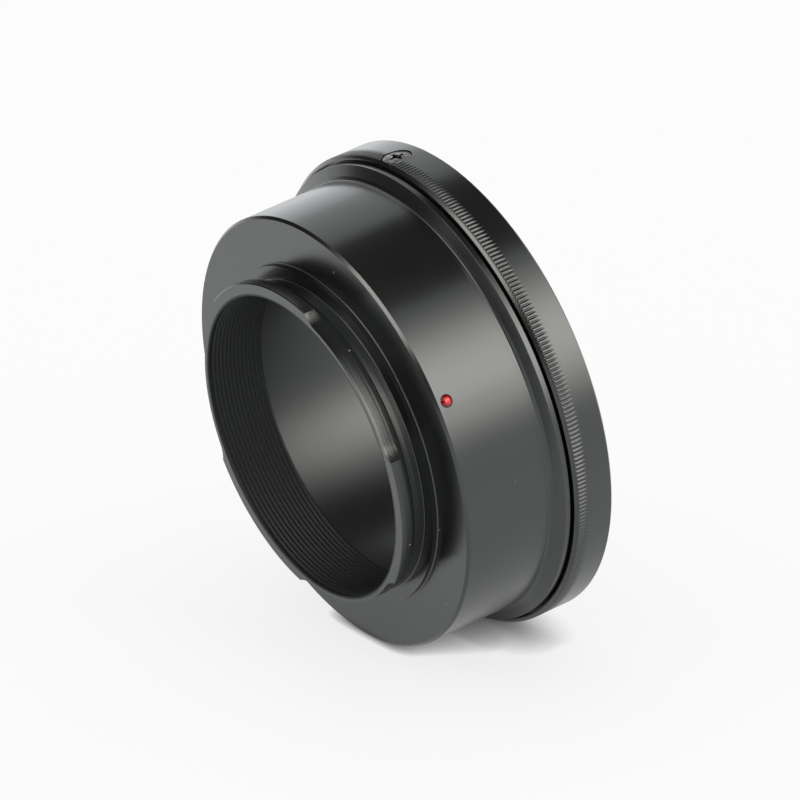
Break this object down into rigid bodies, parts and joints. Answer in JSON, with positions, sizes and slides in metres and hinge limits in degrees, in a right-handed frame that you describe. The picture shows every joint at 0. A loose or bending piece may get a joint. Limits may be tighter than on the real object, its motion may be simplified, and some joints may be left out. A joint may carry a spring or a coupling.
{
  "type": "lens mount adapter",
  "caption": "Round black metal adapter that joins a breech-mount lens to a short-register bayonet camera, with a knurled turning ring that works the lens aperture pin.",
  "frame": {"origin": "centre of the lens seat, on the optical axis, at the bottom of the part", "axes": "+Z along the optical axis from the lens side to the camera side, -Y towards the camera index dot"},
  "size_m": [0.0642, 0.0642, 0.0289],
  "materials": {
    "black_anodised": "satin",
    "black_steel": "satin",
    "bright_steel": "satin",
    "red_enamel": "gloss"
  },
  "bodies": {
    "adapter_body": {"adapter_body": "black_anodised", "lens_flange": "black_anodised", "flange_screws": "black_steel", "camera_index_dot": "red_enamel", "lens_index_dot": "red_enamel", "detent_spring": "bright_steel"},
    "lock_ring": {"lock_ring": "black_anodised", "aperture_ring": "black_anodised", "aperture_pin": "bright_steel", "ring_screw": "black_steel"},
    "detent_ball": {"detent_ball": "bright_steel"}
  },
  "joints": [
    {"name": "ring_turn", "type": "hinge", "parent": "adapter_body", "child": "lock_ring", "pos_m": [0, 0, 0.006], "axis": [0, 0, 1], "range_deg": [0, 40]},
    {"name": "ball_click", "type": "slide", "parent": "adapter_body", "child": "detent_ball", "axis": [-0.9205, 0.3907, 0], "range_m": [0, 0.00015]}
  ]
}
